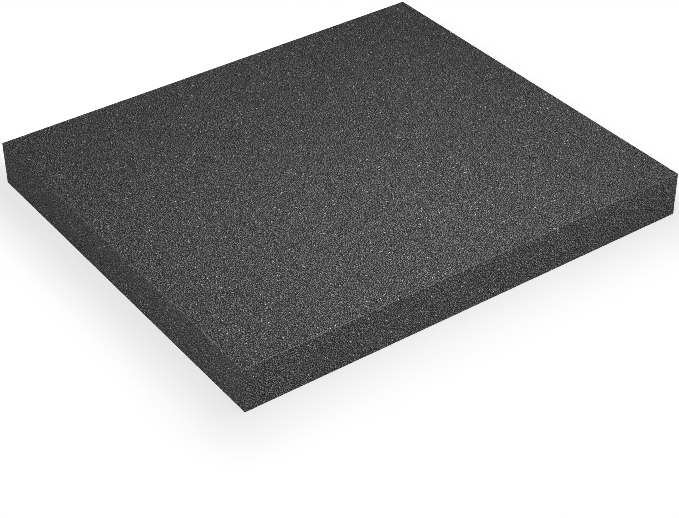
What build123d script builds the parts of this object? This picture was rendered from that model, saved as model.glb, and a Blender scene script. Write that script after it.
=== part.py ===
from build123d import *

import os

# Driving dimensions, in millimetres: foam sheet sold as 16 by 14 by 1.5 inches
SLAB_LENGTH = 406.4
SLAB_WIDTH = 355.6
SLAB_THICKNESS = 38.1

# A knife leaves no true arris on foam: the open cells along an edge give way a little
EDGE_RADIUS = 1.0


def make_foam_slab():
    """One plain slab of open-cell foam, lying flat with its underside centred on the origin."""
    outline = Rectangle(SLAB_LENGTH, SLAB_WIDTH)
    blank = extrude(outline, amount=SLAB_THICKNESS)
    return fillet(blank.edges(), radius=EDGE_RADIUS)


foam_slab = make_foam_slab()
foam_slab.label = "foam_slab"

os.makedirs("parts", exist_ok=True)
export_step(foam_slab, "parts/foam_slab.step")
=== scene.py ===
# %% [markdown]
# A foam insert is a slab of open-cell foam that a knife has cut out of a larger block. There is nothing on
# it but foam, so the whole likeness is in its skin: cells that the blade opened, a few deeper pores among
# them, edges that are straight but a little frayed, and a dull charcoal colour full of tiny lights and darks.
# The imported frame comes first. It gives the slab's exact place and size, and everything below follows it.

# %% Load the frame
import math

import bpy
from mathutils import Euler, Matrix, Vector


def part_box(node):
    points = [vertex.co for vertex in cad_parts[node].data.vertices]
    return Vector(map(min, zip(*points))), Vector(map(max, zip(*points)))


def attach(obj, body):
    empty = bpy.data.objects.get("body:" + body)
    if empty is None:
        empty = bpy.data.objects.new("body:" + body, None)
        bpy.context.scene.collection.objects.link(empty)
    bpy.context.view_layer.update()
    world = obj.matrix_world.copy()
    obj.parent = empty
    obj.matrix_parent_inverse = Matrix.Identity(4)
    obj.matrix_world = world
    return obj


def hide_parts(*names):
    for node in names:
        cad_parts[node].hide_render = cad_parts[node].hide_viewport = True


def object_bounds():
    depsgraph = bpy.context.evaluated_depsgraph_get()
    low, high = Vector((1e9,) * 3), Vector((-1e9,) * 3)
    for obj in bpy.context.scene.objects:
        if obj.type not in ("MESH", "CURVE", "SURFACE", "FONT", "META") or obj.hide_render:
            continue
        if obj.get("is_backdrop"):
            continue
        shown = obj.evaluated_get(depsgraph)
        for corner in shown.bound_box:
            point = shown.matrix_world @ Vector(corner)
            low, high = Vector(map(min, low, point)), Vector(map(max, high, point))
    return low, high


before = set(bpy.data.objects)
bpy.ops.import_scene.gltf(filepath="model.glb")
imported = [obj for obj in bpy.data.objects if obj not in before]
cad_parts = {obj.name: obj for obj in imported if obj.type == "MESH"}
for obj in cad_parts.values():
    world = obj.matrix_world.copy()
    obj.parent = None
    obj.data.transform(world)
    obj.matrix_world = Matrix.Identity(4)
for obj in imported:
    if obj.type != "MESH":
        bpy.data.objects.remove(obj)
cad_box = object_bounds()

NODE = "foam_slab"
MILLIMETRES = 1000.0


def in_millimetres(sizes):
    """Sizes for people to read."""
    return [round(size * MILLIMETRES, 1) for size in sizes]


slab_low, slab_high = (Vector(corner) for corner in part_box(NODE))
slab_size = slab_high - slab_low
print("slab, in millimetres:", in_millimetres(slab_size))

# %% [markdown]
# Geometry Nodes and shaders are both graphs of nodes, and a graph is hard to read as a list of links. One
# small class wraps a socket instead, so that a + b or 1 - a adds the maths node that it stands for. Any other
# node comes from one method, which takes the node's type, its settings and what goes into its sockets. The
# same two classes serve the geometry and the materials.

# %% A wire that adds and multiplies
class Wire:
    """One output socket, which adds, multiplies and compares like a number or a vector."""

    def __init__(self, bench, socket):
        self.bench = bench
        self.socket = socket

    def also(self, name):
        """Another output of the same node."""
        return Wire(self.bench, self.bench.find(self.socket.node.outputs, name))

    def __add__(self, other):
        return self.bench.maths("ADD", self, other)

    def __sub__(self, other):
        return self.bench.maths("SUBTRACT", self, other)

    def __rsub__(self, other):
        return self.bench.maths("SUBTRACT", other, self)

    def __mul__(self, other):
        return self.bench.maths("MULTIPLY", self, other)

    def __truediv__(self, other):
        return self.bench.maths("DIVIDE", self, other)

    def __rtruediv__(self, other):
        return self.bench.maths("DIVIDE", other, self)

    def __pow__(self, other):
        return self.bench.maths("POWER", self, other)

    def __gt__(self, other):
        return self.bench.maths("GREATER_THAN", self, other)

    def __lt__(self, other):
        return self.bench.maths("LESS_THAN", self, other)

    def __abs__(self):
        return self.bench.maths("ABSOLUTE", self)

    __radd__ = __add__
    __rmul__ = __mul__


# %% A bench that nodes are added to
VECTOR_KINDS = ("VECTOR", "RGBA")


class Bench:
    """A node tree that nodes are added to."""

    def __init__(self, tree):
        self.tree = tree

    @staticmethod
    def find(sockets, key):
        """A socket by its place, or the first one in use that has the name."""
        if isinstance(key, int):
            return sockets[key]
        return next(socket for socket in sockets if socket.name == key and socket.enabled)

    def node(self, kind, settings=None, sockets=None, output=None):
        """Adds a node, sets it up, fills its sockets and returns one of its outputs."""
        made = self.tree.nodes.new(kind)
        for name, value in (settings or {}).items():
            setattr(made, name, value)
        for key, value in (sockets or {}).items():
            self.fill(self.find(made.inputs, key), value)
        shown = [socket for socket in made.outputs if socket.enabled]
        if not shown:
            return None
        return Wire(self, shown[0] if output is None else self.find(made.outputs, output))

    def fill(self, socket, value):
        """Links a wire, or several, to a socket, or sets a plain value there."""
        wires = value if isinstance(value, list) else [value]
        if isinstance(wires[0], Wire):
            for wire in wires:
                self.tree.links.new(wire.socket, socket)
        else:
            socket.default_value = value

    def maths(self, operation, *terms):
        """A Math node, or a Vector Math node where a term is a vector."""
        kinds = [term.socket.type if isinstance(term, Wire) else type(term) for term in terms]
        if any(kind in VECTOR_KINDS or kind is tuple for kind in kinds):
            plain = [(term,) * 3 if isinstance(term, (int, float)) else term for term in terms]
            return self.node("ShaderNodeVectorMath", {"operation": operation}, dict(enumerate(plain)))
        return self.node("ShaderNodeMath", {"operation": operation}, dict(enumerate(terms)))

    def parts(self, vector):
        """The x, y and z of a vector."""
        x_part = self.node("ShaderNodeSeparateXYZ", None, {"Vector": vector})
        return x_part, x_part.also("Y"), x_part.also("Z")

    def vector(self, x_part, y_part, z_part):
        """A vector from its x, y and z."""
        return self.node("ShaderNodeCombineXYZ", None, {"X": x_part, "Y": y_part, "Z": z_part})


trial = Bench(bpy.data.node_groups.new("trial", "ShaderNodeTree"))
line = 1 - trial.node("ShaderNodeValue") * 2
print("1 - a * 2 adds", len(trial.tree.nodes) - 1, "maths nodes, the last one to", line.socket.node.operation)
bpy.data.node_groups.remove(trial.tree)

# %% [markdown]
# Each of the six sides was cut flat, and the knife opened whatever cells it met. Most of them show only the
# ends of their walls, too fine to model, and belong to the material. Those that were cut wide open are real
# hollows, and a flat plate with a pattern on it would show that they aren't there, so they are modelled.
# Cutting thousands of holes with booleans would take minutes. A filled outline does it at once: Fill Curve
# takes the outline of the side and the rings of all its pores, and leaves the rings open, and a small cup
# closes each ring from below. One node group makes a side, lying flat with its outer face up, and the slab
# uses it six times.

# %% Inputs of the cut face, in metres
EDGE_RADIUS = 0.0006
PORES_PER_SQUARE_METRE = 44000.0
PORE_GAP = 0.0018
SMALLEST_PORE = 0.0003
LARGEST_PORE = 0.0006
# Sizes of a cut face by itself, which each side of the slab replaces with its own
SAMPLE_SIDE = 0.1
SAMPLE_CELLS = 50
SAMPLE_TILES = 3
SOCKET_KINDS = {float: "NodeSocketFloat", int: "NodeSocketInt", tuple: "NodeSocketVector"}


def geometry_bench(name, inputs):
    """An empty Geometry Nodes tree with named inputs, and a wire for each of them."""
    tree = bpy.data.node_groups.new(name, "GeometryNodeTree")
    bench = Bench(tree)
    for title, value in inputs.items():
        kind = "NodeSocketMaterial" if value is None else SOCKET_KINDS[type(value)]
        socket = tree.interface.new_socket(title, in_out="INPUT", socket_type=kind)
        if value is not None:
            socket.default_value = value
    tree.interface.new_socket("Geometry", in_out="OUTPUT", socket_type="NodeSocketGeometry")
    first = bench.node("NodeGroupInput")
    return bench, {title: first.also(title) for title in inputs}


CUT_INPUTS = {
    "Edge Radius": EDGE_RADIUS, "Pores": PORES_PER_SQUARE_METRE, "Pore Gap": PORE_GAP,
    "Smallest Pore": SMALLEST_PORE, "Largest Pore": LARGEST_PORE,
}
face, given = geometry_bench("cut_face", {
    "Length": SAMPLE_SIDE, "Width": SAMPLE_SIDE, "Cells Along": SAMPLE_CELLS, "Cells Across": SAMPLE_CELLS,
    "Tiles Along": SAMPLE_TILES, "Tiles Across": SAMPLE_TILES, "Seed": 0, "Edge Wear": 0.0,
    "Chart Middle": (0.0, 0.0, 0.0), "Chart Scale": (1.0, 1.0, 1.0), **CUT_INPUTS,
})
print("a cut face is given:", ", ".join(given))

# %% [markdown]
# The rim is a frame of small quads, one row wide, round the edge of the side. An outline with a Bevel could
# make it too, but the corners of six sides would have to be fitted to each other. A fine grid has its points
# where they are wanted: the faces in the middle go, and the row of points inside the rim moves to one edge
# radius from the edge. The rim can carry a mark, because trimming the sides leaves the two large ones with a
# thin lip of frayed cell walls. The finish paints that lip paler, partly as wear and partly as a painted
# highlight along the edges of the two large sides. The mark is stored at the corners of the quads, so it
# ends sharply at the edge and doesn't run on into the trimmed side.

# %% Frame of quads round the cut face
WEAR_AND_HIGHLIGHT_ATTRIBUTE = "edge_wear"
half_length = given["Length"] / 2
half_width = given["Width"] / 2
radius = given["Edge Radius"]
step_along = given["Length"] / given["Cells Along"]
step_across = given["Width"] / given["Cells Across"]

place = face.node("GeometryNodeInputPosition")
x, y, z = face.parts(place)
grid = face.node("GeometryNodeMeshGrid", None, {
    "Size X": given["Length"], "Size Y": given["Width"],
    "Vertices X": given["Cells Along"] + 1, "Vertices Y": given["Cells Across"] + 1,
})
inside = (abs(x) < half_length - step_along) * (abs(y) < half_width - step_across)
quads = face.node("GeometryNodeDeleteGeometry", {"domain": "FACE"}, {"Geometry": grid, "Selection": inside})


def drawn_in(along, half, step):
    """The same place along one axis, with the inner rows moved to one radius from the edge."""
    inner_row = abs(along) < half - step / 2
    return along * (1 + inner_row * ((half - radius) / (half - step) - 1))


def stored(bench, geometry, domain, kind, name, value):
    """The geometry with one more attribute, at its points, at its edges or at the corners of its faces."""
    return bench.node("GeometryNodeStoreNamedAttribute", {"data_type": kind, "domain": domain}, {
        "Geometry": geometry, "Name": name, "Value": value,
    })


narrow = face.node("GeometryNodeSetPosition", None, {
    "Geometry": quads,
    "Position": face.vector(drawn_in(x, half_length, step_along), drawn_in(y, half_width, step_across), 0.0),
})
off_the_edge = (abs(x) < half_length - radius / 2) * (abs(y) < half_width - radius / 2)
# The mark for the frayed lip, which the finish paints paler, partly as wear and partly as a painted highlight
flat_rim = stored(face, narrow, "CORNER", "FLOAT", WEAR_AND_HIGHLIGHT_ATTRIBUTE, given["Edge Wear"])
print("flat rim:", len(face.tree.nodes), "nodes so far")

# %% [markdown]
# A knife leaves no true sharp edge on foam. Each point of the rim is sent to the nearest place in a smaller
# box, and out again by the edge radius, which puts it on the round. All six sides do the same sum, so their
# outer rows meet exactly and the edge closes when the sides are merged.

# %% Round the rim
inner_box = face.vector(half_length - radius, half_width - radius, 0.0)
core = face.maths("MINIMUM", face.maths("MAXIMUM", place, inner_box * -1), inner_box)
core = core - face.vector(0.0, 0.0, radius)
outward = face.node("ShaderNodeVectorMath", {"operation": "NORMALIZE"}, {0: place - core})
rim = face.node("GeometryNodeSetPosition", None, {"Geometry": flat_rim, "Position": core + outward * radius})
print("round rim:", len(face.tree.nodes), "nodes so far")

# %% [markdown]
# Poisson points keep a gap between neighbours and are otherwise loose, as the larger cells in foam are. Fill
# Curve slows down sharply with thousands of rings in one outline, so the side is filled in tiles, each with
# its own group number. A pore that would touch the border of its tile is left out.

# %% Tiles and points of the cut face
PORE_CLEARANCE = 0.0004
inset = (radius + PORE_CLEARANCE) * 2
block_length = given["Length"] - inset
block_width = given["Width"] - inset
tiles = face.node("GeometryNodeMeshGrid", None, {
    "Size X": block_length, "Size Y": block_width,
    "Vertices X": given["Tiles Along"] + 1, "Vertices Y": given["Tiles Across"] + 1,
})
points = face.node("GeometryNodeDistributePointsOnFaces", {"distribute_method": "POISSON"}, {
    "Mesh": tiles, "Distance Min": given["Pore Gap"], "Density Max": given["Pores"], "Seed": given["Seed"],
})


def in_tile(along, block, count):
    """The number of the tile at a place along one axis, and how far the place is from its border."""
    tile_size = block / count
    steps = (along + block / 2) / tile_size
    number = face.maths("FLOOR", steps)
    share = steps - number
    return number, face.maths("MINIMUM", share, 1 - share) * tile_size


column, to_column_border = in_tile(x, block_length, given["Tiles Along"])
row, to_row_border = in_tile(y, block_width, given["Tiles Across"])
tile_number = column + row * given["Tiles Along"]
to_border = face.maths("MINIMUM", to_column_border, to_row_border)
print("pores are", PORE_GAP * MILLIMETRES, "mm apart or more")

# %% [markdown]
# Every pore has its own size, mostly small, and its own stretch, depth and turn. The ring and the cup are
# instances on the same points with the same numbers, so each cup fits its ring to the last digit, and
# merging joins them.

# %% Size and turn of each pore
SMALL_PORE_POWER = 1.6
LEAST_STRETCH_SHARE = 0.7
LEAST_DEPTH_SHARE = 1.3
MOST_DEPTH_SHARE = 1.7
FULL_TURN = 2 * math.pi
SIZE_DRAW, STRETCH_DRAW, DEPTH_DRAW, TURN_DRAW = range(1, 5)


def chance(low, high, draw):
    """A random number for each pore. The draw keeps one set of numbers apart from another."""
    return face.node("FunctionNodeRandomValue", {"data_type": "FLOAT"}, {
        "Min": low, "Max": high, "Seed": given["Seed"] + draw,
    })


pore_range = given["Largest Pore"] - given["Smallest Pore"]
pore_radius = given["Smallest Pore"] + pore_range * chance(0.0, 1.0, SIZE_DRAW) ** SMALL_PORE_POWER
pore_scale = face.vector(
    pore_radius, pore_radius * chance(LEAST_STRETCH_SHARE, 1.0, STRETCH_DRAW),
    pore_radius * chance(LEAST_DEPTH_SHARE, MOST_DEPTH_SHARE, DEPTH_DRAW),
)
pore_turn = face.node("FunctionNodeAxisAngleToRotation", None, {
    "Axis": (0.0, 0.0, 1.0), "Angle": chance(0.0, FULL_TURN, TURN_DRAW),
})


def on_each_pore(shape):
    """A copy of a shape at every pore, as real geometry."""
    copies = face.node("GeometryNodeInstanceOnPoints", None, {
        "Points": points, "Instance": shape, "Rotation": pore_turn, "Scale": pore_scale,
        "Selection": to_border > pore_radius + PORE_CLEARANCE,
    })
    return face.node("GeometryNodeRealizeInstances", None, {"Geometry": copies})


print("pores are", in_millimetres((2 * SMALLEST_PORE, 2 * LARGEST_PORE)), "mm across")

# %% [markdown]
# Fill Curve makes a flat sheet inside an outline and leaves a hole for every ring in it. Two sheets make the
# side: a plain border between the rim and the block of tiles, and the tiles with their pores.

# %% Sheets between the rim and the pores
PORE_SIDES = 6
# An edge with fewer than two faces lies on the border of its mesh
on_the_border = face.node("GeometryNodeInputMeshEdgeNeighbors") < 2


def outline(mesh, selection):
    """The chosen edges of a mesh as a curve."""
    return face.node("GeometryNodeMeshToCurve", {"mode": "EDGES"}, {"Mesh": mesh, "Selection": selection})


def filled(curves, group=0):
    """A flat mesh inside the outlines, with a hole for each ring within them."""
    together = face.node("GeometryNodeJoinGeometry", None, {"Geometry": curves})
    return face.node("GeometryNodeFillCurve", {"mode": "TRIANGLES"}, {"Curve": together, "Group ID": group})


rim_outline = outline(flat_rim, on_the_border * off_the_edge)
block_outline = outline(tiles, on_the_border)
tile_outlines = face.node("GeometryNodeMeshToCurve", {"mode": "FACES"}, {"Mesh": tiles})
ring = face.node("GeometryNodeCurvePrimitiveCircle", None, {"Resolution": PORE_SIDES, "Radius": 1.0})
border_sheet = filled([rim_outline, block_outline])
pored_sheet = filled([tile_outlines, on_each_pore(ring)], tile_number)
print("sheets:", len(face.tree.nodes), "nodes so far")

# %% [markdown]
# A pore is a larger cell that the blade cut open: a small hollow that narrows downwards. A cone with as many
# sides as the ring, hung point down from it, is enough at this size. It carries its depth, from 0 at the
# ring to 1 at the bottom, so that the finish can paint shade into it.

# %% Cups that close the pores
PORE_ATTRIBUTE = "pore_depth"
cone = face.node("GeometryNodeMeshCone", {"fill_type": "NONE"}, {
    "Vertices": PORE_SIDES, "Side Segments": 1, "Radius Top": 1.0, "Radius Bottom": 0.0, "Depth": 1.0,
})
hung = face.node("GeometryNodeTransform", None, {"Geometry": cone, "Translation": (0.0, 0.0, -1.0)})
marked = stored(face, hung, "POINT", "FLOAT", PORE_ATTRIBUTE, z * -1)
cup = face.node("GeometryNodeFlipFaces", None, {"Mesh": marked})
print("a cup has", PORE_SIDES, "faces")

# %% [markdown]
# Every side also needs a flat map. The finish below is a pattern of cut cells, and a knife cut shows it
# straight from above, at the same scale on all six sides. A side is still lying flat here, so its own x and
# y are that map. Each side is moved to a place of its own, so that no two show the same cells. The same map,
# brought to the unit square, is the UV map: anything that is painted onto the slab later has even detail,
# where an automatic map would break up round every pore.

# %% Map and output of the cut face
PLACE_ATTRIBUTE = "cut_place"
UV_MAP = "OFBake"
whole_face = face.node("GeometryNodeJoinGeometry", None, {
    "Geometry": [rim, border_sheet, pored_sheet, on_each_pore(cup)],
})
cut_place = given["Chart Middle"] + place
placed_face = stored(face, whole_face, "CORNER", "FLOAT_VECTOR", PLACE_ATTRIBUTE, cut_place)
mapped_face = stored(face, placed_face, "CORNER", "FLOAT2", UV_MAP, cut_place * given["Chart Scale"])
face.node("NodeGroupOutput", None, {"Geometry": mapped_face})
print("cut face:", len(face.tree.nodes), "nodes")

# %% [markdown]
# The slab is six cut faces, each turned to its own side and moved into place. The larger two take the lowest
# row of the flat map, and the narrow ones lie in pairs above them, with a gap between neighbours.

# %% Where the six sides lie
QUARTER = math.pi / 2
CHART_GAP = 0.004
CHART_COLUMNS = 2
length, width, thickness = slab_size
# Each side: its size along and across, its turn, its place as shares of the slab's sizes, its spot on the map
SIDES = {
    "top": (length, width, (0.0, 0.0, 0.0), (0.0, 0.0, 1.0), (0, 0)),
    "underside": (length, width, (math.pi, 0.0, 0.0), (0.0, 0.0, 0.0), (1, 0)),
    "front": (length, thickness, (QUARTER, 0.0, 0.0), (0.0, -0.5, 0.5), (0, 1)),
    "back": (length, thickness, (QUARTER, 0.0, math.pi), (0.0, 0.5, 0.5), (1, 1)),
    "right": (width, thickness, (QUARTER, 0.0, QUARTER), (0.5, 0.0, 0.5), (0, 2)),
    "left": (width, thickness, (QUARTER, 0.0, -QUARTER), (-0.5, 0.0, 0.5), (1, 2)),
}
chart_rows = (width, thickness, thickness)
map_width = CHART_COLUMNS * length + (CHART_COLUMNS + 1) * CHART_GAP
map_height = sum(chart_rows) + (len(chart_rows) + 1) * CHART_GAP


def chart_middle(chart_column, chart_row):
    """The middle of a side on the flat map, in metres."""
    to_the_right = CHART_GAP + length / 2 + chart_column * (length + CHART_GAP)
    up = CHART_GAP + chart_rows[chart_row] / 2 + sum(chart_rows[:chart_row]) + chart_row * CHART_GAP
    return to_the_right, up, 0.0


print("flat map, in millimetres:", in_millimetres((map_width, map_height)))

# %% Six sides make the slab
RIM_STEP = 0.002
TILE_SIZE = 0.035
UNEVENNESS = 0.00022
UNEVENNESS_SPAN = 0.004
SEED = 41
SEED_STRIDE = 10
MERGE_GAP = 0.00001

slab, sizes = geometry_bench("foam_slab_skin", {
    "Unevenness": UNEVENNESS, "Unevenness Span": UNEVENNESS_SPAN, "Seed": SEED,
    "Low Corner": tuple(slab_low), "High Corner": tuple(slab_high), "Foam": None, **CUT_INPUTS,
})
placed_sides = []
# Only the two large sides get the paler lip, partly wear and partly a painted highlight along their edges
for count, (along, across, turn, place_shares, chart) in enumerate(SIDES.values()):
    cut = slab.node("GeometryNodeGroup", {"node_tree": face.tree}, {
        "Length": along, "Width": across,
        "Cells Along": round(along / RIM_STEP), "Cells Across": round(across / RIM_STEP),
        "Tiles Along": round(along / TILE_SIZE), "Tiles Across": round(across / TILE_SIZE),
        "Seed": sizes["Seed"] + count * SEED_STRIDE, "Edge Wear": float(across > thickness),
        "Chart Middle": chart_middle(*chart), "Chart Scale": (1 / map_width, 1 / map_height, 0.0),
        **{title: sizes[title] for title in CUT_INPUTS},
    })
    middle = tuple(share * side for share, side in zip(place_shares, slab_size))
    placed_sides.append(slab.node("GeometryNodeTransform", None, {
        "Geometry": cut, "Translation": middle, "Rotation": turn,
    }))
joined = slab.node("GeometryNodeJoinGeometry", None, {"Geometry": placed_sides})
closed = slab.node("GeometryNodeMergeByDistance", None, {"Geometry": joined, "Distance": MERGE_GAP})
print("sides:", ", ".join(SIDES))

# %% [markdown]
# A noise keeps the slab from looking machined. It shifts every point by a fraction of a millimetre, so that
# rims waver and pores lose their neat outline. Then all points are held within the box of the frame, so the
# noise only ever takes foam away and the slab still lies flat. Sharp folds, at the mouths of the pores, are
# marked as such, and everything else is shaded smooth.

# %% Uneven points and sharp folds
NOISE_DETAIL = 2.0
NOISE_MIDDLE = 0.5
SHARP_FOLD = math.radians(50)
here = slab.node("GeometryNodeInputPosition")
noise = slab.node("ShaderNodeTexNoise", None, {
    "Vector": here, "Scale": 1 / sizes["Unevenness Span"], "Detail": NOISE_DETAIL,
}, "Color")
shifted = here + (noise - NOISE_MIDDLE) * 2 * sizes["Unevenness"]
held = slab.maths("MINIMUM", slab.maths("MAXIMUM", shifted, sizes["Low Corner"]), sizes["High Corner"])
uneven = slab.node("GeometryNodeSetPosition", None, {"Geometry": closed, "Position": held})

fold = slab.node("GeometryNodeInputMeshEdgeAngle")
smooth = slab.node("GeometryNodeSetShadeSmooth", None, {"Geometry": uneven, "Shade Smooth": True})
creased = stored(slab, smooth, "EDGE", "BOOLEAN", "sharp_edge", fold > SHARP_FOLD)
real = slab.node("GeometryNodeRealizeInstances", None, {"Geometry": creased})
finished = slab.node("GeometryNodeSetMaterial", None, {"Geometry": real, "Material": sizes["Foam"]})
slab.node("NodeGroupOutput", None, {"Geometry": finished})
print("slab:", len(slab.tree.nodes), "nodes and", len(SIDES), "sides")

# %% [markdown]
# The finish is charcoal polyurethane foam, and its look is a matter of scale. The cells are about a
# millimetre wide. The knife leaves the ends of their walls as pale flecks with dark gaps between them, no two
# flecks alike. The pale and the dark are partly the foam's own grain and partly painted light and shade:
# light caught by the wall ends and shade in the open cells between them. Cloudy noise would blur all that to
# one grey, so the pattern is made of cells. It reads the flat map that the sides carry, in millimetres. A
# grid of cells can beat against the pixels of a picture and show stripes, so the pattern is turned, drifts
# slowly to and fro, and has ragged outlines.

# %% A place in the foam
PATTERN_TURN = math.radians(27)
DRIFT_SPAN = 9.0
DRIFT = 1.2
RAGGED_SPAN = 0.55
RAGGED = 0.16
WANDER_DETAIL = 1.0


def finish_bench(name):
    """An empty material, and the bench for its nodes."""
    material = bpy.data.materials.new(name)
    material.use_nodes = True
    material.node_tree.nodes.clear()
    return material, Bench(material.node_tree)


cut_foam, foam = finish_bench("cut_charcoal_foam")
on_the_cut = foam.node("ShaderNodeAttribute", {"attribute_name": PLACE_ATTRIBUTE}, None, "Vector")
on_the_cut = on_the_cut * MILLIMETRES
turned = foam.node("ShaderNodeMapping", None, {"Vector": on_the_cut, "Rotation": (0.0, 0.0, PATTERN_TURN)})


def wander(span, reach):
    """A smooth sideways shift of up to about the reach, which changes over the span."""
    swirl = foam.node("ShaderNodeTexNoise", {"noise_dimensions": "2D"}, {
        "Vector": on_the_cut, "Scale": 1 / span, "Detail": WANDER_DETAIL,
    }, "Color")
    return (swirl - NOISE_MIDDLE) * (2 * reach)


in_the_foam = turned + wander(DRIFT_SPAN, DRIFT) + wander(RAGGED_SPAN, RAGGED)
print("place in the foam:", len(cut_foam.node_tree.nodes), "nodes")

# %% [markdown]
# A Voronoi texture has one middle to each cell, so a fleck is simply what lies near a middle, and the chances
# that Voronoi gives each cell make every fleck its own. A second set of cells, a little coarser, does for the
# scraps of wall between them. A few scraps get a painted glint, a bright spot in the colour where a wall
# would catch the light, and far more get a painted pit, a dark spot of painted shade where a wall has torn
# away.

# %% Flecks, painted glints and painted pit shade
FLECK_PITCH = 1.0
FLECK_REACH_SHARE = 0.5
SCRAP_PITCH = 1.1
SCRAP_SHIFT = 11.0
SCRAP_CORE_SHARE = 0.3
SCRAP_REACH_SHARE = 0.45
PAINTED_GLINT_SHARE = 0.009
FAINTEST_PAINTED_GLINT_SHARE = 0.6
PIT_SHARE = 0.2


def cells(at, pitch):
    """How far the nearest middle is, as a share of the pitch, and three chances for that cell."""
    to_middle = foam.node("ShaderNodeTexVoronoi", {"voronoi_dimensions": "2D"}, {
        "Vector": at, "Scale": 1 / pitch,
    }, "Distance")
    return to_middle, foam.parts(to_middle.also("Color"))


def near(distance, low, high):
    """From 1 within the low distance to 0 past the high one, smoothly."""
    return 1 - foam.node("ShaderNodeMapRange", {"interpolation_type": "SMOOTHSTEP"}, {
        "Value": distance, "From Min": low, "From Max": high,
    })


def at_least(share, part):
    """From the share, where the part is 0, to the whole, where the part is 1."""
    return share + (1 - share) * part


to_fleck, (fleck_tone_chance, fleck_height_chance, _) = cells(in_the_foam, FLECK_PITCH)
fleck = near(to_fleck, 0.0, FLECK_REACH_SHARE)
to_scrap, (scrap_chance, glint_chance, _) = cells(in_the_foam + SCRAP_SHIFT, SCRAP_PITCH)
scrap = near(to_scrap, SCRAP_CORE_SHARE, SCRAP_REACH_SHARE)
# Painted highlight: a bright spot in the colour for a scrap of wall that catches the light
painted_glint = (scrap_chance < PAINTED_GLINT_SHARE) * scrap * at_least(FAINTEST_PAINTED_GLINT_SHARE, glint_chance)
# Painted shade: a dark spot for a torn-away wall, with no hollow modelled under it
pit_shade = (scrap_chance > 1 - PIT_SHARE) * scrap
print("flecks, glints and pits:", len(cut_foam.node_tree.nodes), "nodes so far")

# %% [markdown]
# The tone is built up in layers. First come the flecks over dark gaps, some brighter than others, partly the
# foam's grain and partly painted light and shade. The frayed lip is paler and more even, partly as wear and
# partly as a painted highlight. The whole block is a little mottled, and that reads Object coordinates, so
# that it runs on round the edges. Then painted shade darkens the pits, painted glints are laid on top and
# painted shade darkens the pores.

# %% Tone of the foam
SHADED_GAP_TONE = 0.025
FLECK_TONE = 0.335
FLECK_VARIETY_SHARE = 0.28
VARIETY_POWER = 3.0
WEAR_AND_HIGHLIGHT_TONE = 0.22
WEAR_AND_HIGHLIGHT_SHARE = 0.7
MOTTLE_SPAN = 22.0
MOTTLE_SHARE = 0.12
PIT_SHADE_SHARE = 0.97
PAINTED_GLINT_TONE = 0.95
PORE_RIM_SHARE = 0.4
PORE_SHADE_SHARE = 0.92


def carried(name):
    """A number that the mesh carries."""
    return foam.node("ShaderNodeAttribute", {"attribute_name": name}, None, "Fac")


in_the_block = foam.node("ShaderNodeTexCoord", None, None, "Object") * MILLIMETRES
mottle = foam.node("ShaderNodeTexNoise", None, {
    "Vector": in_the_block, "Scale": 1 / MOTTLE_SPAN, "Detail": NOISE_DETAIL,
}, "Fac")
# A power of an even chance has a mean of 1 / (power + 1), so this keeps the mean at 1
unlike = (VARIETY_POWER + 1) * fleck_tone_chance ** VARIETY_POWER
variety = at_least(1 - FLECK_VARIETY_SHARE, unlike)
pore_shade = 1 - near(carried(PORE_ATTRIBUTE), 0.0, PORE_RIM_SHARE)

# Flecks over dark gaps: partly the foam's own grain, partly painted light on the wall ends and painted shade
# in the cells
tone = SHADED_GAP_TONE + FLECK_TONE * fleck * variety
# Painted highlight: the frayed lip of the two large sides is made paler, partly as wear and partly as painted
# light
tone = tone + WEAR_AND_HIGHLIGHT_SHARE * carried(WEAR_AND_HIGHLIGHT_ATTRIBUTE) * (WEAR_AND_HIGHLIGHT_TONE - tone)
tone = tone * (1 + MOTTLE_SHARE * (mottle - NOISE_MIDDLE))
# Painted shade in the pits
tone = tone * (1 - PIT_SHADE_SHARE * pit_shade)
# Painted highlight: the glints are laid into the colour
tone = tone + (PAINTED_GLINT_TONE - tone) * painted_glint
# Painted shade: the inside of each pore is darkened in the colour, nearly black below its rim
tone = tone * (1 - PORE_SHADE_SHARE * pore_shade)
print("tone:", len(cut_foam.node_tree.nodes), "nodes so far")

# %% [markdown]
# Cut foam is as dull as a surface can be. Only the glints have a little gloss. The flecks stand a quarter of
# a millimetre proud of the gaps at most, so a bump shows their height well enough.

# %% Roughness and bump of the foam
GAP_ROUGHNESS = 0.98
FLECK_ROUGHNESS = 0.92
GLINT_ROUGHNESS = 0.7
SPECULAR_LEVEL = 0.2
BUMP_HEIGHT = 0.00025
LOWEST_FLECK_SHARE = 0.4

roughness = GAP_ROUGHNESS - (GAP_ROUGHNESS - FLECK_ROUGHNESS) * fleck
roughness = roughness - (GAP_ROUGHNESS - GLINT_ROUGHNESS) * painted_glint
height = fleck * at_least(LOWEST_FLECK_SHARE, fleck_height_chance)
bump = foam.node("ShaderNodeBump", None, {"Height": height, "Distance": BUMP_HEIGHT, "Strength": 1.0})
skin = foam.node("ShaderNodeBsdfPrincipled", None, {
    "Base Color": tone, "Roughness": roughness, "Specular IOR Level": SPECULAR_LEVEL, "Normal": bump,
})
foam.node("ShaderNodeOutputMaterial", None, {"Surface": skin})
print("charcoal foam:", len(cut_foam.node_tree.nodes), "nodes")

# %% [markdown]
# The tree is put on an empty mesh as a modifier, its material is set by the socket's identifier, and the
# evaluated result becomes a plain mesh. After that there is no modifier left, only the slab.

# %% The slab as a plain mesh
def add_object(name, data):
    """A new object in the scene."""
    made = bpy.data.objects.new(name, data)
    bpy.context.scene.collection.objects.link(made)
    return made


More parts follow.
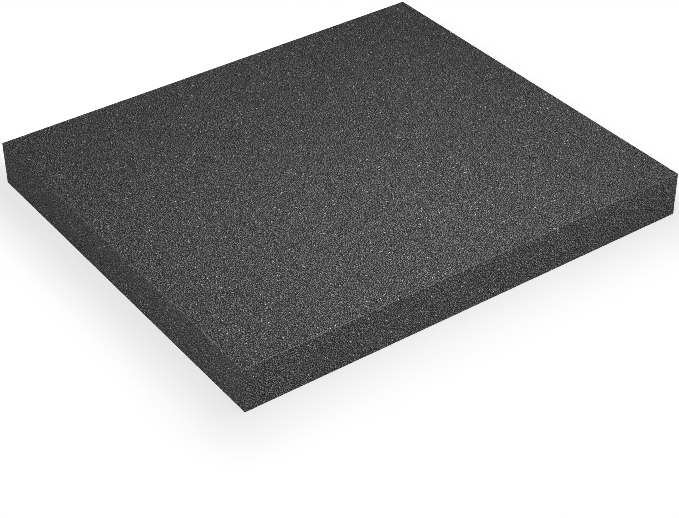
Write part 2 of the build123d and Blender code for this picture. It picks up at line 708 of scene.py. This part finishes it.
carrier = add_object("slab_tree", bpy.data.meshes.new("slab_tree"))
modifier = carrier.modifiers.new("foam_slab_skin", "NODES")
modifier.node_group = slab.tree
for item in slab.tree.interface.items_tree:
    if item.in_out == "INPUT" and item.name == "Foam":
        modifier[item.identifier] = cut_foam
bpy.context.view_layer.update()
evaluated = carrier.evaluated_get(bpy.context.evaluated_depsgraph_get())
skin_mesh = bpy.data.meshes.new_from_object(evaluated)
carrier.modifiers.clear()
bpy.data.objects.remove(carrier)
# The empty mesh had an empty material slot, so the slots are made anew
skin_mesh.materials.clear()
skin_mesh.materials.append(cut_foam)
skin_mesh.polygons.foreach_set("material_index", [0] * len(skin_mesh.polygons))

piece = add_object("foam_slab_skin", skin_mesh)
triangles = sum(len(polygon.vertices) - 2 for polygon in skin_mesh.polygons)
print("slab skin:", len(skin_mesh.vertices), "points,", triangles, "triangles")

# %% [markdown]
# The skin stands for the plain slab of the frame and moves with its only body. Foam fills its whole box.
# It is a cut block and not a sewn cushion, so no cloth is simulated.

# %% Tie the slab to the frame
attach(piece, "root")
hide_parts(NODE)
print(piece.name, "stands for", NODE)

# %% [markdown]
# The slab lies on a pale floor that runs out into white. A floor that is lit until it is white would need so
# much light that the foam would pale too. Instead the floor glows for the eye alone: Light Path tells the
# rays that look at it from those that carry light. Close to the slab the floor is partly paint, which keeps
# the slab's shadow, and further out it is the same white as the world behind it, so no horizon shows.

# %% Pale floor
FLOOR_SIZE = 6.0
FLOOR_DROP = 0.0004
FLOOR_TONE = 0.8
SHADOW_START = 0.008
SHADOW_END = 0.06
GLOW_SHARE = 0.72
WHITE = (1.0, 1.0, 1.0, 1.0)


def white_to_the_eye(bench):
    """1 for rays that see the background, straight or by way of gloss or glass, and 0 for others."""
    seen = bench.node("ShaderNodeLightPath", None, None, "Is Camera Ray")
    either = bench.maths("MAXIMUM", seen, seen.also("Is Glossy Ray"))
    return bench.maths("MAXIMUM", either, seen.also("Is Transmission Ray"))


def floor_finish():
    """Paint that takes the slab's shadow, and a white glow that takes over away from the slab."""
    material, ground = finish_bench("pale_floor")
    floor_x, floor_y, _ = ground.parts(ground.node("ShaderNodeTexCoord", None, None, "Object"))
    clear_x = ground.maths("MAXIMUM", abs(floor_x) - slab_size.x / 2, 0.0)
    clear_y = ground.maths("MAXIMUM", abs(floor_y) - slab_size.y / 2, 0.0)
    away = (clear_x ** 2 + clear_y ** 2) ** 0.5
    fade = ground.node("ShaderNodeMapRange", {"interpolation_type": "SMOOTHSTEP"}, {
        "Value": away, "From Min": SHADOW_START, "From Max": SHADOW_END,
    })
    paint = ground.node("ShaderNodeBsdfDiffuse", None, {"Color": (FLOOR_TONE, FLOOR_TONE, FLOOR_TONE, 1.0)})
    glow = ground.node("ShaderNodeEmission", None, {"Color": WHITE, "Strength": 1.0})
    glow_part = white_to_the_eye(ground) * at_least(GLOW_SHARE, fade)
    mixed = ground.node("ShaderNodeMixShader", None, {0: glow_part, 1: paint, 2: glow})
    ground.node("ShaderNodeOutputMaterial", None, {"Surface": mixed})
    return material


floor_mesh = bpy.data.meshes.new("pale_floor")
floor_corners = [
    (sign_x * FLOOR_SIZE / 2, sign_y * FLOOR_SIZE / 2, -FLOOR_DROP)
    for sign_x, sign_y in ((-1, -1), (1, -1), (1, 1), (-1, 1))
]
floor_mesh.from_pydata(floor_corners, [], [range(len(floor_corners))])
floor_mesh.materials.append(floor_finish())
floor = add_object("pale_floor", floor_mesh)
floor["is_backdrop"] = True
print("floor:", FLOOR_SIZE, "metres across, a hair below the slab:", FLOOR_DROP * MILLIMETRES, "mm")

# %% [markdown]
# A product picture has soft light from all round. The world gives a good part of it. To the eye the world is
# white, at a strength of 1, and it lights the slab with less than that.

# %% White world
WORLD_FILL_SHARE = 0.29
world = bpy.data.worlds.new("studio")
world.use_nodes = True
world.node_tree.nodes.clear()
sky = Bench(world.node_tree)
light = sky.node("ShaderNodeBackground", None, {
    "Color": WHITE, "Strength": at_least(WORLD_FILL_SHARE, white_to_the_eye(sky)),
})
sky.node("ShaderNodeOutputWorld", None, {"Surface": light})
bpy.context.scene.world = world
print("the world lights the slab at", WORLD_FILL_SHARE)

# %% [markdown]
# Three broad lamps give the light its direction. One hangs low over the front half of the slab, so that the
# top grows darker towards its far corners. The others stand to the left and right of the camera, the left one
# stronger, and light the two cut sides. Area lamps are right here, because their size keeps the shadows soft.

# %% Lamps
# Each lamp: where it is, what it points at, its size across and along, and its power in watts
LAMPS = {
    "over_the_front": ((0.0, -0.14, 0.3), (0.0, -0.04, 0.0), (0.4, 0.3), 0.74),
    "left_of_the_camera": ((-0.75, -0.7, 0.35), (-0.1, -0.1, 0.03), (0.5, 0.5), 2.28),
    "right_of_the_camera": ((0.5, -0.8, 0.3), (0.1, -0.1, 0.03), (0.5, 0.5), 0.7),
}


def facing(direction):
    """The turn that points a lamp or a camera in a direction."""
    return direction.to_track_quat("-Z", "Y")


for name, (spot, target, (size_across, size_along), watts) in LAMPS.items():
    lamp = bpy.data.lights.new(name, "AREA")
    lamp.shape = "RECTANGLE"
    lamp.size = size_across
    lamp.size_y = size_along
    lamp.energy = watts
    lamp_object = add_object(name, lamp)
    lamp_object.location = spot
    lamp_object.rotation_euler = facing(Vector(target) - Vector(spot)).to_euler()
    lamp_object.visible_camera = False
    print(name, "gives", watts, "watts")

# %% [markdown]
# The camera looks down at the slab over its front left corner, from about a metre and a third, with a long
# lens. That is the usual view for a flat thing: the whole top shows, and two sides tell how thick it is. The
# place is given as two angles and a distance from a point on the slab, because those can be read and changed
# one at a time.

# %% Camera
LENS = 94.43
CAMERA_AZIMUTH = math.radians(-35.222)
CAMERA_ELEVATION = math.radians(36.059)
CAMERA_ROLL = math.radians(-0.64)
CAMERA_DISTANCE = 1.3369
CAMERA_TARGET = Vector((-0.06111, -0.09158, 0.01905))

camera_data = bpy.data.cameras.new("camera")
camera_data.lens = LENS
camera = add_object("camera", camera_data)
back = Vector((
    math.sin(CAMERA_AZIMUTH) * math.cos(CAMERA_ELEVATION),
    -math.cos(CAMERA_AZIMUTH) * math.cos(CAMERA_ELEVATION),
    math.sin(CAMERA_ELEVATION),
))
roll = Euler((0.0, 0.0, CAMERA_ROLL)).to_quaternion()
camera.location = CAMERA_TARGET + CAMERA_DISTANCE * back
camera.rotation_euler = (facing(-back) @ roll).to_euler()
bpy.context.scene.camera = camera
print("camera at", [round(part, 3) for part in camera.location])

# %% [markdown]
# Foam grain is about as fine as the pixels of the picture. The usual pixel filter spreads each one over its
# neighbours, and the denoiser's prefilter smooths what it takes for noise, so both would blur the grain. A
# narrow filter and no prefilter keep it. The plain Standard view shows each colour as it was written.

# %% Film
PIXEL_FILTER = 0.7
bpy.context.scene.view_settings.view_transform = "Standard"
bpy.context.scene.cycles.filter_width = PIXEL_FILTER
bpy.context.scene.cycles.denoising_prefilter = "NONE"
print("pixel filter:", PIXEL_FILTER, "pixel wide")

# %% [markdown]
# Last, the size of what was made is printed beside the size of the frame. The skin only takes foam away
# from the plain slab, so the two boxes agree.

# %% Sizes and finish
bpy.context.view_layer.update()
boxes = {"cad": cad_box, "visual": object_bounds()}
for name, (low, high) in boxes.items():
    print(name, "box, in millimetres:", in_millimetres(Vector(high) - Vector(low)))
